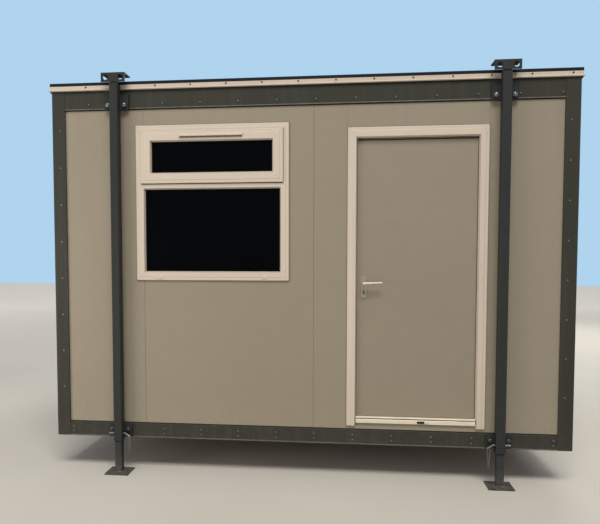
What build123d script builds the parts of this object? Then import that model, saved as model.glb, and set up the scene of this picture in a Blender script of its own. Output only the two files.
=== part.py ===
from build123d import *
import os

# Portable site cabin on four jack legs, in millimetres.
# X runs along the long side, the door and window are on the -Y side, Z is up from the ground.

# Overall sizes
length = 3660
width = 2440
clearance = 245
body_height = 2500

# Wall build-up
panel_thick = 50
panel_recess = 12
panel_joint = 1
joint_chamfer = 2
panel_module = 1220
joint_to_door = 233

# Corner posts, folded from sheet
post_face = 102
post_sheet = 3
post_radius = 18

# Bottom rail channels and floor
rail_height = 103
rail_sheet = 4
rail_bend = 5
rail_lip_height = 7
joist_width = 50
joist_sheet = 4
joist_count = 6
deck_thick = 60

# Top rail flashing with a hem at its foot
top_rail_height = 135
top_rail_sheet = 3
hem_height = 8
hem_proud = 2

# Roof
roof_deck_thick = 88
kerb_width = 45
kerb_height = 52
membrane_thick = 4
trim_height = 34
trim_thick = 4
trim_proud = 5
trim_drip = 9
trim_flare = 12
trim_tip_rise = 2
trim_lap = 3

# Moulded frame section shared by the window and the door
frame_depth = 64
frame_proud = 14
frame_bevel = 4
step_width = 22
step_depth = 2
step_slope = 3
bead_width = 8

# Window
window_width = 1100
window_height = 1100
window_from_end = 624
window_below_roof = 165
window_member = 65
transom_rise = 648
transom_height = 65
sash_overlap = 25
sash_proud = 14
sash_member = 78
glass_thick = 24
glass_setback = 22

# Trickle vent hood on the head of the sash
vent_width = 452
vent_height = 16
vent_nose = 8
vent_proud = 13
vent_wall = 2
vent_below_sash_top = 29

# Door
door_from_end = 584
door_width = 946
door_below_roof = 210
jamb_above_rail = 30
door_member = 65
door_head_member = 72
stop_depth = 24
rebate_step = 15
leaf_gap = 5
leaf_thick = 44
leaf_floor_gap = 6

# Threshold with two ribs and a drain slot
threshold_above_rail = 52
threshold_height = 42
threshold_inner_height = 18
rib_groove_rise = 27
rib_groove_height = 7
rib_groove_depth = 6
rib_round = 2
drain_from_jamb = 436
drain_width = 52
drain_height = 11
drain_rise = 4
drain_depth = 8

# Lever handle and lock
handle_from_edge = 61
handle_rise = 960
plate_width = 42
plate_height = 162
plate_corner = 20
plate_thick = 5
plate_above = 54
hub_radius = 9
spindle_radius = 5
turn_clearance = 0.5
lever_reach = 128
lever_rise = 5
lever_root = 15
lever_tip = 10
lever_depth = 14
lever_ease = 3
lever_standoff = 44
lock_below_handle = 64
lock_width = 10
lock_height = 29
lock_setback = 2

# Hinges
hinge_count = 3
hinge_height = 100
hinge_barrel = 7
hinge_pin = 4
hinge_fit = 0.08
hinge_plate = 3
hinge_plate_width = 40
hinge_axis_out = 6
hinge_inset = 220

# Jack legs
leg_from_end = 494
fixing_thick = 15
fixing_width = 172
fixing_corner = 14
upper_fixing_height = 110
upper_fixing_drop = 12
hem_room = 1
lower_fixing_height = 88
lower_fixing_rise = 8
outer_tube = 60
outer_wall = 4
outer_corner = 5
outer_below_rail = 11
outer_above_post = 23
collar_height = 34
collar_thick = 3.5
inner_tube = 50
inner_wall = 4
inner_corner = 4
inner_overlap = 300
foot_width = 172
foot_depth = 150
foot_thick = 8

# Head brackets on the legs
stub_depth = 100
cap_thick = 4
head_width = 172
head_height = 63
head_depth = 110
head_plate = 8
head_hole = 38
head_hole_spacing = 106
head_gap = 10

# Fixing bolts
bolt_spacing = 120
upper_bolt_rise = 35
lower_bolt_rise = 58
bolt_head_width = 30
bolt_head_thick = 15

# Locking pins and the chains that keep them
pin_radius = 7
pin_bore = 7.5
pin_below_rail_top = 64
pin_outer_reach = 42
pin_inner_reach = 14
pin_bent_reach = 38
pin_bend_drop = 25
chain_width = 6
chain_lead = 6
chain_drop = 140
chain_end_in = 33

# How far a cut runs past the face that it opens
through = 1

# Planes worked out from the sizes above
half_x = length / 2
half_y = width / 2
wall_x = half_x - panel_recess
wall_y = half_y - panel_recess
inner_x = wall_x - panel_thick
inner_y = wall_y - panel_thick
face_x = half_x - post_sheet
face_y = half_y - post_sheet
between_posts_x = half_x - post_face
between_posts_y = half_y - post_face
rail_top = clearance + rail_height
post_top = clearance + body_height
top_rail_base = post_top - top_rail_height
wall_top = post_top - roof_deck_thick
kerb_top = post_top + kerb_height
deck_top = rail_top - rail_sheet + deck_thick
door_right_x = half_x - door_from_end
door_left_x = door_right_x - door_width
door_head_z = wall_top - door_below_roof
jamb_foot_z = rail_top + jamb_above_rail
threshold_low = rail_top + threshold_above_rail
threshold_top = threshold_low + threshold_height
threshold_inner = threshold_low + threshold_inner_height
window_left = -half_x + window_from_end
window_right = window_left + window_width
window_top = wall_top - window_below_roof
window_sill_z = window_top - window_height
joint_right = door_left_x - joint_to_door
joint_left = joint_right - panel_module
frame_face = -wall_y - frame_proud
frame_back = frame_face + frame_depth


def block(x0, x1, y0, y1, z0, z1):
    """Rectangular solid between two corners."""
    centre = Pos((x0 + x1) / 2, (y0 + y1) / 2, (z0 + z1) / 2)
    return centre * Box(abs(x1 - x0), abs(y1 - y0), abs(z1 - z0))


def prism(points, plane, distance):
    """Solid made by pushing a closed outline along the normal of its plane."""
    return extrude(plane * make_face(Polyline(*points, close=True)), distance)


def rod(centre, radius, direction, reach):
    """Round bar from a centre point along a direction."""
    return extrude(Plane(origin=centre, z_dir=direction) * Circle(radius), reach)


def splay(x0, x1, z0, z1, y0, y1, flare):
    """Solid between an upright rectangle at y0, larger by the flare all round, and one at y1."""
    middle = ((x0 + x1) / 2, (z0 + z1) / 2)
    ends = []
    for y, grow in ((y0, flare), (y1, 0)):
        plane = Plane(origin=(middle[0], y, middle[1]), x_dir=(1, 0, 0), z_dir=(0, -1, 0))
        ends.append(plane * Rectangle(x1 - x0 + 2 * grow, z1 - z0 + 2 * grow))
    return loft(ends)


def mirrored(solid, plane):
    """The solid and its image across a plane."""
    return [solid, mirror(solid, about=plane)]


def four_corners(solid):
    """The solid at the front right, and its images at the other three corners."""
    pair = mirrored(solid, Plane.YZ)
    return pair + [mirror(item, about=Plane.XZ) for item in pair]


nodes = {}

# Bottom rails: pressed channels with the open side inwards, under the wall panels


def channel(face, inner, z0, z1, sheet):
    """Channel outline across the rail, as distance from the centre line and height."""
    return [(face, z0), (inner, z0), (inner, z0 + sheet), (face - sheet, z0 + sheet),
            (face - sheet, z1 - sheet), (inner, z1 - sheet), (inner, z1), (face, z1)]


def bottom_rail(face, inner, reach, outer, lip_reach):
    """Channel along X at the -Y side, with a bent upper edge and a lip along its foot."""
    outline = [(-y, z) for y, z in channel(face, inner, clearance, rail_top, rail_sheet)]
    rail = prism(outline, Plane.YZ.offset(-reach), 2 * reach)
    top_edge = rail.edges().filter_by(Axis.X).group_by(Axis.Z)[-1].sort_by(Axis.Y)[0]
    rail = fillet(top_edge, rail_bend)
    lip_top = clearance + rail_lip_height
    lip_step = outer - face
    lip = [(-face, clearance), (-outer, clearance), (-outer, lip_top - lip_step), (-face, lip_top)]
    return rail + prism(lip, Plane.YZ.offset(-lip_reach), 2 * lip_reach)


rail_end_x = half_x - post_radius
rail_end_y = half_y - post_radius
front_rail = bottom_rail(face_y, inner_y, rail_end_x, half_y, between_posts_x)
nodes["front_bottom_rail"] = front_rail
nodes["back_bottom_rail"] = mirror(front_rail, about=Plane.XZ)
side_rail = bottom_rail(face_x, inner_x, inner_y, half_x, between_posts_y)
nodes["right_bottom_rail"] = Rot(Z=90) * side_rail
nodes["left_bottom_rail"] = Rot(Z=-90) * side_rail

# Floor joists: channels lying between the flanges of the long rails
joist_end = face_y - rail_sheet
joist_pitch = 2 * (inner_x - joist_width) / (joist_count - 1)
joist_low = clearance + rail_sheet
joist_high = rail_top - rail_sheet
joists = []
for index in range(joist_count):
    x = -inner_x + joist_width / 2 + index * joist_pitch
    outline = [(x, joist_low), (x + joist_width, joist_low), (x + joist_width, joist_low + joist_sheet),
               (x + joist_sheet, joist_low + joist_sheet), (x + joist_sheet, joist_high - joist_sheet),
               (x + joist_width, joist_high - joist_sheet), (x + joist_width, joist_high), (x, joist_high)]
    joists.append(prism(outline, Plane.XZ.offset(-joist_end), 2 * joist_end))
nodes["floor_joists"] = Compound(children=joists)

# Floor deck: a boarded sandwich between the walls
nodes["floor_deck"] = block(-inner_x, inner_x, -inner_y, inner_y, joist_high, deck_top)

# Corner posts: folded angles with a rounded corner and lips that return to the wall


def corner_band(low, high, radius):
    """L-shaped area along the two outer faces of the front left corner."""
    square = Pos((low + high) / 2, (low + high) / 2) * Rectangle(high - low, high - low)
    square = fillet(square.vertices().sort_by(Axis.X)[:2].sort_by(Axis.Y)[0], radius)
    behind = panel_recess + post_face
    inside = Pos(behind, behind) * Rectangle(2 * post_face, 2 * post_face)
    return square - inside


corner_plane = Plane(origin=(-half_x, -half_y, 0))
inner_radius = post_radius - post_sheet
full_band = corner_band(0, post_face, post_radius)
hollow_band = corner_band(post_sheet, post_face - post_sheet, inner_radius)
open_band = corner_band(post_sheet, post_face + post_sheet, inner_radius)
post = extrude(corner_plane.offset(clearance) * (full_band - open_band), body_height)
lip_length = top_rail_base - rail_top
post += extrude(corner_plane.offset(rail_top) * (full_band - hollow_band), lip_length)
nodes["front_left_post"] = post
nodes["front_right_post"] = mirror(post, about=Plane.YZ)
nodes["back_left_post"] = mirror(post, about=Plane.XZ)
nodes["back_right_post"] = mirror(nodes["front_right_post"], about=Plane.XZ)

# Front wall panels, with the window and the doorway cut through
window_hole_front = -wall_y - through
window_hole_back = -inner_y + through
window_hole = block(window_left, window_right, window_hole_front, window_hole_back, window_sill_z, window_top)
half_joint = panel_joint / 2


def panel(x0, x1, z0, z1):
    """Front wall panel with its outer upright edges chamfered."""
    slab = block(x0, x1, -wall_y, -inner_y, z0, z1)
    edges = slab.edges().filter_by(Axis.Z).group_by(Axis.Y)[0]
    return chamfer(edges, joint_chamfer)


end_panel = panel(-wall_x, joint_left - half_joint, rail_top, wall_top)
window_panel = panel(joint_left + half_joint, joint_right - half_joint, rail_top, wall_top)
middle_panel = panel(joint_right + half_joint, door_left_x, rail_top, wall_top)
nodes["front_wall_end_panel"] = end_panel - window_hole
nodes["front_wall_window_panel"] = window_panel - window_hole
nodes["front_wall_middle_panel"] = middle_panel - window_hole
nodes["front_wall_right_panel"] = panel(door_right_x, wall_x, rail_top, wall_top)
nodes["front_wall_over_door"] = block(door_left_x, door_right_x, -wall_y, -inner_y, door_head_z, wall_top)
sill_left = door_left_x + door_member
sill_right = door_right_x - door_member
under_door = block(door_left_x, door_right_x, -wall_y, -inner_y, rail_top, jamb_foot_z)
under_door += block(sill_left, sill_right, -wall_y, -inner_y, jamb_foot_z, threshold_low)
nodes["front_wall_under_door"] = under_door

# Back and side walls: equal panels with sealed joints


def wall_row(count, reach, outer):
    """Equal panels side by side along X, outer faces at -Y, with chamfered joints."""
    pitch = 2 * reach / count
    row = []
    for index in range(count):
        x0 = -reach + index * pitch + (half_joint if index else 0)
        x1 = -reach + (index + 1) * pitch - (half_joint if index < count - 1 else 0)
        slab = block(x0, x1, -outer, -outer + panel_thick, rail_top, wall_top)
        row.append(chamfer(slab.edges().filter_by(Axis.Z).group_by(Axis.Y)[0], joint_chamfer))
    return row


back_row = wall_row(round(2 * wall_x / panel_module), wall_x, wall_y)
nodes["back_wall"] = Compound(children=[Rot(Z=180) * item for item in back_row])
side_row = wall_row(round(2 * wall_y / panel_module), inner_y, wall_x)
nodes["right_wall"] = Compound(children=[Rot(Z=90) * item for item in side_row])
nodes["left_wall"] = Compound(children=[Rot(Z=-90) * item for item in side_row])

# Top rails: folded flashings with a rounded hem along the foot


def top_rail(face, back, reach, hem_reach):
    """Flashing along X at the -Y side."""
    outline = channel(face, back, top_rail_base, post_top, top_rail_sheet)
    rail = prism([(-y, z) for y, z in outline], Plane.YZ.offset(-reach), 2 * reach)
    hem_half = hem_height / 2
    hem = [(-face, top_rail_base), (-face - hem_proud, top_rail_base + hem_proud),
           (-face - hem_proud, top_rail_base + hem_half), (-face, top_rail_base + hem_height)]
    return rail + prism(hem, Plane.YZ.offset(-hem_reach), 2 * hem_reach)


front_top = top_rail(face_y, wall_y, rail_end_x, between_posts_x)
nodes["front_top_rail"] = front_top
nodes["back_top_rail"] = mirror(front_top, about=Plane.XZ)
side_top = top_rail(face_x, wall_x, rail_end_y, between_posts_y)
nodes["right_top_rail"] = Rot(Z=90) * side_top
nodes["left_top_rail"] = Rot(Z=-90) * side_top

# Roof deck with a raised kerb that laps over the tops of the posts and rails
trim_face_x = half_x + trim_proud
trim_face_y = half_y + trim_proud
kerb_x = trim_face_x - trim_thick
kerb_y = trim_face_y - trim_thick
trim_top = post_top + trim_height
kerb = block(-kerb_x, kerb_x, -kerb_y, kerb_y, post_top, kerb_top)
kerb_hollow_x = kerb_x - kerb_width
kerb_hollow_y = kerb_y - kerb_width
kerb -= block(-kerb_hollow_x, kerb_hollow_x, -kerb_hollow_y, kerb_hollow_y, post_top, kerb_top)
nodes["roof_deck"] = block(-wall_x, wall_x, -wall_y, wall_y, wall_top, post_top) + kerb

# Roof membrane: laid in the tray, over the kerb and down its face to the trim
membrane_top = kerb_top + membrane_thick
tray_x = kerb_hollow_x - membrane_thick
tray_y = kerb_hollow_y - membrane_thick
skin = block(-trim_face_x, trim_face_x, -trim_face_y, trim_face_y, trim_top, membrane_top)
skin += block(-kerb_hollow_x, kerb_hollow_x, -kerb_hollow_y, kerb_hollow_y, post_top, trim_top)
skin -= kerb
skin -= block(-tray_x, tray_x, -tray_y, tray_y, post_top + membrane_thick, membrane_top)
nodes["roof_membrane"] = skin

# Roof trims: folded fascia strips that flare to a drip over the posts, mitred at the corners
trim_reach = half_x + half_y


def trim_outline(half):
    """Outline of the fascia strip, as distance from the centre line and height."""
    face = half + trim_proud
    tip = face + trim_drip
    return [(half, post_top - trim_lap), (tip, post_top + trim_tip_rise), (face, post_top + trim_flare),
            (face, trim_top), (face - trim_thick, trim_top), (face - trim_thick, post_top), (half, post_top)]


def roof_trim(half_long, half_short):
    """Fascia strip along X at the -Y side, cut to the mitre lines of the corners."""
    strip = prism([(-y, z) for y, z in trim_outline(half_short)], Plane.YZ.offset(-trim_reach), 2 * trim_reach)
    far_end = half_long + post_face
    far_side = -half_short - post_face
    area = [(-half_long, -half_short), (half_long, -half_short), (far_end, far_side), (-far_end, far_side)]
    return strip & prism(area, Plane.XY.offset(top_rail_base), top_rail_height + kerb_height)


front_trim = roof_trim(half_x, half_y)
nodes["front_roof_trim"] = front_trim
nodes["back_roof_trim"] = mirror(front_trim, about=Plane.XZ)
side_trim = roof_trim(half_y, half_x)
nodes["right_roof_trim"] = Rot(Z=90) * side_trim
nodes["left_roof_trim"] = Rot(Z=-90) * side_trim


def moulded(x0, x1, z0, z1, front, back):
    """Slab with the bevelled and stepped front that the window and door sections share."""
    low_face = front + step_depth
    body = block(x0, x1, low_face, back, z0, z1)
    body = chamfer(body.faces().sort_by(Axis.Y)[0].edges(), frame_bevel)
    inset = step_width + step_slope
    return body + splay(x0 + inset, x1 - inset, z0 + inset, z1 - inset, low_face, front, step_slope)


def splayed_hole(x0, x1, z0, z1, front, seat, back):
    """Cut through a frame, splayed from its front down to the seat of the glass."""
    return block(x0, x1, seat, back, z0, z1) + splay_in(x0, x1, z0, z1, front, seat)


def splay_in(x0, x1, z0, z1, front, seat):
    """Splayed mouth of a hole, run a little past the front face."""
    flare = bead_width * (seat - front + through) / (seat - front)
    return splay(x0, x1, z0, z1, front - through, seat, flare)


# Window frame with a transom: moulded members round two splayed openings
pane_left = window_left + window_member
pane_right = window_right - window_member
pane_low = window_sill_z + window_member
pane_high = window_top - window_member
transom_z = window_sill_z + transom_rise
transom_top = transom_z + transom_height
window_frame = moulded(window_left, window_right, window_sill_z, window_top, frame_face, frame_back)
seat_y = frame_face + glass_setback
window_frame -= splayed_hole(pane_left, pane_right, pane_low, transom_z, frame_face, seat_y, frame_back)
window_frame -= block(pane_left, pane_right, frame_face, frame_back, transom_top, pane_high)
nodes["window_frame"] = window_frame
nodes["lower_glass"] = block(pane_left, pane_right, seat_y, seat_y + glass_thick, pane_low, transom_z)

# Vent sash: a proud moulded frame with its glass, hung at the head
sash_left = pane_left - sash_overlap
sash_right = pane_right + sash_overlap
sash_low = transom_top - sash_overlap
sash_high = pane_high + sash_overlap
sash_face = frame_face - sash_proud
sash_seat = sash_face + glass_setback
light_left = sash_left + sash_member
light_right = sash_right - sash_member
light_low = sash_low + sash_member
light_high = sash_high - sash_member
sash = moulded(sash_left, sash_right, sash_low, sash_high, sash_face, frame_face)
sash += block(pane_left, pane_right, frame_face, frame_back, transom_top, pane_high)
sash -= splayed_hole(light_left, light_right, light_low, light_high, sash_face, sash_seat, frame_back)
nodes["vent_sash"] = sash
nodes["upper_glass"] = block(light_left, light_right, sash_seat, sash_seat + glass_thick, light_low, light_high)

# Trickle vent: a hood open below, with a sloping top, on the head of the sash
vent_top = sash_high - vent_below_sash_top
vent_low = vent_top - vent_height
vent_left = (window_left + window_right - vent_width) / 2
vent_front = sash_face - vent_proud
hood_outline = [(sash_face, vent_low), (vent_front, vent_low), (vent_front, vent_low + vent_nose),
                (sash_face - vent_wall, vent_top), (sash_face, vent_top)]
hood = prism(hood_outline, Plane.YZ.offset(vent_left), vent_width)
hood -= block(vent_left + vent_wall, vent_left + vent_width - vent_wall, vent_front + vent_wall,
              sash_face - vent_wall, vent_low - through, vent_low + vent_nose - vent_wall)
nodes["trickle_vent"] = hood

# Door frame: moulded jambs and head with a rebate on the room side
opening_left = sill_left
opening_right = sill_right
opening_top = door_head_z - door_head_member
rebate_y = frame_face + stop_depth
below_foot = jamb_foot_z - door_member
door_frame = moulded(door_left_x, door_right_x, below_foot, door_head_z, frame_face, frame_back)
door_frame -= block(door_left_x, door_right_x, frame_face, frame_back, below_foot, jamb_foot_z)
door_frame -= block(opening_left, opening_right, frame_face, rebate_y, jamb_foot_z, opening_top)
door_frame -= splay_in(opening_left, opening_right, below_foot, opening_top, frame_face, rebate_y)
rebate_left = opening_left - rebate_step
rebate_right = opening_right + rebate_step
rebate_top = opening_top + rebate_step
door_frame -= block(rebate_left, rebate_right, rebate_y, frame_back, jamb_foot_z, rebate_top)
nodes["door_frame"] = door_frame

# Threshold: a sill with two ribs, a drain slot and an upstand that the leaf closes behind
groove_low = threshold_low + rib_groove_rise
groove_high = groove_low + rib_groove_height
threshold_outline = [(frame_face, threshold_low), (rebate_y, threshold_low), (rebate_y, threshold_top),
                     (frame_face + 2 * rib_round, threshold_top),
                     (frame_face + rib_round, threshold_top - rib_round),
                     (frame_face + rib_round, groove_high), (frame_face + rib_groove_depth, groove_high),
                     (frame_face + rib_groove_depth, groove_low), (frame_face + rib_round, groove_low),
                     (frame_face, groove_low - rib_round)]
threshold = prism(threshold_outline, Plane.YZ.offset(opening_left), opening_right - opening_left)
threshold += block(rebate_left, rebate_right, rebate_y, frame_back, threshold_low, threshold_inner)
drain_left = opening_left + drain_from_jamb
drain_low = threshold_low + drain_rise
threshold -= block(drain_left, drain_left + drain_width, frame_face - through, frame_face + drain_depth,
                   drain_low, drain_low + drain_height)
nodes["door_threshold"] = threshold

# Door leaf: opens inwards on hinges at its right edge, cut for the spindle and the lock
leaf_left = rebate_left + leaf_gap
leaf_right = rebate_right - leaf_gap
leaf_front = rebate_y + leaf_gap
leaf_back = leaf_front + leaf_thick
leaf_low = threshold_inner + leaf_floor_gap
leaf_high = rebate_top - leaf_gap
handle_x = leaf_left + handle_from_edge
handle_z = threshold_inner + handle_rise
lock_z = handle_z - lock_below_handle
leaf_middle = Plane.XZ.offset(-(leaf_front + leaf_thick / 2))


def lock_bar(y0, y1):
    """Upright slot-shaped bar through the leaf at the lock."""
    plane = Plane(origin=(handle_x, y1, lock_z), x_dir=(0, 0, 1), z_dir=(0, -1, 0))
    return extrude(plane * SlotOverall(lock_height, lock_width), y1 - y0)


plate_front = leaf_front - plate_thick
plate_back = leaf_back + plate_thick
lock_hole = lock_bar(plate_front - through, plate_back + through)
leaf = block(leaf_left, leaf_right, leaf_front, leaf_back, leaf_low, leaf_high)
spindle_start = (handle_x, leaf_front - through, handle_z)
leaf -= rod(spindle_start, spindle_radius + turn_clearance, (0, 1, 0), leaf_thick + 2 * through)
nodes["door_leaf"] = leaf - lock_hole
nodes["lock_cylinder"] = lock_bar(plate_front + lock_setback, plate_back - lock_setback)

# Handle plates on both faces of the leaf, with holes for the lever hub and the lock
plate_centre = handle_z + plate_above - plate_height / 2
plate_shape = RectangleRounded(plate_width, plate_height, plate_corner)
plate_plane = Plane(origin=(handle_x, leaf_front, plate_centre), x_dir=(1, 0, 0), z_dir=(0, -1, 0))
plate = extrude(plate_plane * plate_shape, plate_thick)
hub_hole_start = (handle_x, plate_front - through, handle_z)
plate -= rod(hub_hole_start, hub_radius + turn_clearance, (0, 1, 0), plate_thick + 2 * through)
nodes["handle_plates"] = Compound(children=mirrored(plate - lock_hole, leaf_middle))

# Lever handle: hubs, flat tapered grips with eased edges, and the spindle that joins them through the leaf
hub_start = leaf_front - turn_clearance
grip_back = plate_front - lever_standoff + lever_depth / 2
hub = rod((handle_x, hub_start, handle_z), hub_radius, (0, -1, 0), hub_start - grip_back + lever_depth)
tip_x = handle_x + lever_reach
tip_low = handle_z + lever_rise - lever_tip / 2
tip_high = handle_z + lever_rise + lever_tip / 2
root_low = handle_z - lever_root / 2
root_high = handle_z + lever_root / 2
grip_outline = [(handle_x, root_low), (tip_x, tip_low), (tip_x, tip_high), (handle_x, root_high)]
grip = prism(grip_outline, Plane.XZ.offset(-grip_back), lever_depth)
eased = grip.edges().filter_by(lambda edge: edge.center().X > handle_x + through)
outer_half = hub + chamfer(eased, lever_ease)
spindle_reach = leaf_thick + 2 * turn_clearance + 2 * through
spindle = rod((handle_x, hub_start - through, handle_z), spindle_radius, (0, 1, 0), spindle_reach)
nodes["lever_handle"] = outer_half + mirror(outer_half, about=leaf_middle) + spindle

# Hinges: plates on the frame and the leaf, with a pin that carries the leaf knuckle
hinge_x = leaf_right + hinge_axis_out
hinge_y = leaf_back + hinge_axis_out
frame_sides = []
leaf_sides = []
hinge_low = leaf_low + hinge_inset
hinge_step = (leaf_high - hinge_inset - hinge_height - hinge_low) / (hinge_count - 1)
for index in range(hinge_count):
    z0 = hinge_low + index * hinge_step
    middle = z0 + hinge_height / 2
    z1 = z0 + hinge_height
    side = rod((hinge_x, hinge_y, z0), hinge_barrel, (0, 0, 1), hinge_height / 2)
    side += rod((hinge_x, hinge_y, z0), hinge_pin, (0, 0, 1), hinge_height)
    side += block(hinge_x, hinge_x + hinge_plate, frame_back, hinge_y, z0, middle)
    side += block(hinge_x, hinge_x + hinge_plate_width, frame_back, frame_back + hinge_plate, z0, middle)
    frame_sides.append(side)
    knuckle_low = middle + turn_clearance
    knuckle = rod((hinge_x, hinge_y, knuckle_low), hinge_barrel, (0, 0, 1), z1 - knuckle_low)
    knuckle += block(hinge_x - hinge_plate_width, hinge_x, leaf_back, leaf_back + hinge_plate, knuckle_low, z1)
    knuckle -= rod((hinge_x, hinge_y, knuckle_low - through), hinge_pin + hinge_fit, (0, 0, 1), hinge_height)
    leaf_sides.append(knuckle)
nodes["hinge_frame_sides"] = Compound(children=frame_sides)
nodes["hinge_leaf_sides"] = Compound(children=leaf_sides)

# Jack legs: outer tubes on fixing plates, inner tubes with foot plates
leg_x = half_x - leg_from_end
leg_y = -half_y - fixing_thick - outer_tube / 2
outer_low = clearance - outer_below_rail
outer_top = post_top + outer_above_post


def tube(side, wall, corner, z0, z1):
    """Square tube with eased corners, standing at the front right leg."""
    bore = side - 2 * wall
    outside = Rectangle(side, side)
    ring = chamfer(outside.vertices(), corner) - Rectangle(bore, bore)
    return extrude(Plane(origin=(leg_x, leg_y, z0)) * ring, z1 - z0)


pin_z = rail_top - pin_below_rail_top
pin_hole = rod((leg_x - outer_tube, leg_y, pin_z), pin_bore, (1, 0, 0), 2 * outer_tube)
outer_leg = tube(outer_tube, outer_wall, outer_corner, outer_low, outer_top) - pin_hole
outer_legs = four_corners(outer_leg)
collar_side = outer_tube + 2 * collar_thick
collar = tube(collar_side, collar_thick, collar_thick, outer_low, outer_low + collar_height)
collar -= block(leg_x - outer_tube, leg_x + outer_tube, -half_y - fixing_thick, -half_y, outer_low, rail_top)
outer_legs[0] = outer_leg + collar
nodes["leg_outer_tubes"] = Compound(children=outer_legs)
foot = Pos(leg_x, leg_y, foot_thick / 2) * Box(foot_width, foot_depth, foot_thick)
inner_leg = tube(inner_tube, inner_wall, inner_corner, foot_thick, outer_low + inner_overlap) - pin_hole
nodes["leg_inner_tubes"] = Compound(children=four_corners(inner_leg + foot))

# Head brackets: angles on a stub in the top of the outer tubes, with lifting holes in the upright flange
head_base = outer_top + cap_thick + head_gap
head_front = leg_y - inner_tube / 2 - head_plate
head_top = head_base + head_height
flange_low = head_top - head_plate
head_left = leg_x - head_width / 2
head_right = leg_x + head_width / 2
head = block(head_left, head_right, head_front, head_front + head_plate, head_base, head_top)
head += block(head_left, head_right, head_front, head_front + head_depth, flange_low, head_top)
hole_z = (head_base + head_top) / 2
for side in (-1, 1):
    hole_start = (leg_x + side * head_hole_spacing / 2, head_front - through, hole_z)
    head -= rod(hole_start, head_hole / 2, (0, 1, 0), head_plate + 2 * through)
head += tube(inner_tube, inner_wall, inner_corner, outer_top - stub_depth, flange_low)
cap_wall = (outer_tube - inner_tube) / 2 + inner_wall
head += tube(outer_tube, cap_wall, outer_corner, outer_top, outer_top + cap_thick)
nodes["leg_head_brackets"] = Compound(children=four_corners(head))

# Fixing plates between the tubes and the rails, with chamfered lower corners
plate_outer_y = -half_y - fixing_thick
fixing_left = leg_x - fixing_width / 2
fixing_right = leg_x + fixing_width / 2


def fixing_plate(back, z0, z1):
    """Plate behind the front right leg tube, from its outer face back to the rail."""
    plate = block(fixing_left, fixing_right, plate_outer_y, back, z0, z1)
    return chamfer(plate.edges().filter_by(Axis.Y).group_by(Axis.Z)[0], fixing_corner)


upper_low = top_rail_base - upper_fixing_drop
upper_high = upper_low + upper_fixing_height
lower_low = clearance + lower_fixing_rise
lower_high = lower_low + lower_fixing_height
upper_plate = fixing_plate(-face_y, upper_low, upper_high)
hem_room_y = -face_y - hem_proud - hem_room
upper_plate -= block(fixing_left, fixing_right, hem_room_y, -face_y, upper_low, top_rail_base + hem_height)
nodes["leg_upper_plates"] = Compound(children=four_corners(upper_plate))
nodes["leg_lower_plates"] = Compound(children=four_corners(fixing_plate(-face_y, lower_low, lower_high)))

# Fixing bolts: hexagon heads that seat on the plates, each side of the tube
bolts = []
for z in (upper_low + upper_bolt_rise, lower_low + lower_bolt_rise):
    for side in (-1, 1):
        seat = (leg_x + side * bolt_spacing / 2, plate_outer_y, z)
        hexagon = RegularPolygon(bolt_head_width / 2, 6, major_radius=False)
        bolts += four_corners(extrude(Plane(origin=seat, z_dir=(0, -1, 0)) * hexagon, bolt_head_thick))
nodes["leg_bolts"] = Compound(children=bolts)

# Locking pins: straight outside the tube, bent down on the side towards the middle of the cabin
pin_start = Vector(leg_x + outer_tube / 2 + pin_outer_reach, leg_y, pin_z)
pin_corner = Vector(leg_x - outer_tube / 2 - pin_inner_reach, leg_y, pin_z)
pin_end = pin_corner + Vector(-pin_bent_reach, 0, -pin_bend_drop)
pin_ring = Plane(origin=pin_start, z_dir=(-1, 0, 0)) * Circle(pin_radius)
pin = sweep(pin_ring, path=Polyline(pin_start, pin_corner, pin_end), transition=Transition.RIGHT)
nodes["leg_locking_pins"] = Compound(children=four_corners(pin))

# Keeper chains: each hangs in a loop from the bent end of its pin to the foot of the lower plate
chain_way = (pin_end - pin_corner).normalized()
chain_start = pin_end + chain_way * chain_lead
chain_end = Vector(fixing_left + chain_end_in, (plate_outer_y - half_y) / 2, lower_low)
chain_middle = (chain_start + chain_end) / 2
chain_low = Vector(chain_middle.X, chain_middle.Y, lower_low - chain_drop)
chain_foot = chain_end - Vector(0, 0, chain_lead)
chain_path = Polyline(pin_end, chain_start, chain_low, chain_foot, chain_end)
chain_ring = Plane(origin=pin_end, z_dir=chain_way) * Rectangle(chain_width, chain_width)
chain = sweep(chain_ring, path=chain_path, transition=Transition.RIGHT)
nodes["leg_pin_chains"] = Compound(children=four_corners(chain))

os.makedirs("parts", exist_ok=True)
for name, shape in nodes.items():
    export_step(shape, f"parts/{name}.step")
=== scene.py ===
import bpy
import bmesh
import math
from mathutils import Matrix, Vector


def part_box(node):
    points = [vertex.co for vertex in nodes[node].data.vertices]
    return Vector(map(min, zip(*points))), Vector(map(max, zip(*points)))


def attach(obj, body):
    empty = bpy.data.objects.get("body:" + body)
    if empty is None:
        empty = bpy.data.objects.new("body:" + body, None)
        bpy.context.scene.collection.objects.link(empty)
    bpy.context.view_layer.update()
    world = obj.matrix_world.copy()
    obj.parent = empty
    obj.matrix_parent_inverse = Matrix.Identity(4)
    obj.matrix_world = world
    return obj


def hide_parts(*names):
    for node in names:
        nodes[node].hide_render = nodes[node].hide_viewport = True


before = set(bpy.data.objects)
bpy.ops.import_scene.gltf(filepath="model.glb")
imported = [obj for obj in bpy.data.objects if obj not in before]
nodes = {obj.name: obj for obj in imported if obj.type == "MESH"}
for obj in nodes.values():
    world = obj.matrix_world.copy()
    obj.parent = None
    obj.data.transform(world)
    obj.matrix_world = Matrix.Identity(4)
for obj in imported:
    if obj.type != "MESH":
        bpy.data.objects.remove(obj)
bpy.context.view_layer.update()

# View and studio: the camera stands a little right of the middle of the long side, at head height.
# The floor and the surround are plain and pale. Broad soft lamps light the front from above and from the left,
# and one more lights the back.
eye = (0.292, -5.262, 1.542)
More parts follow.
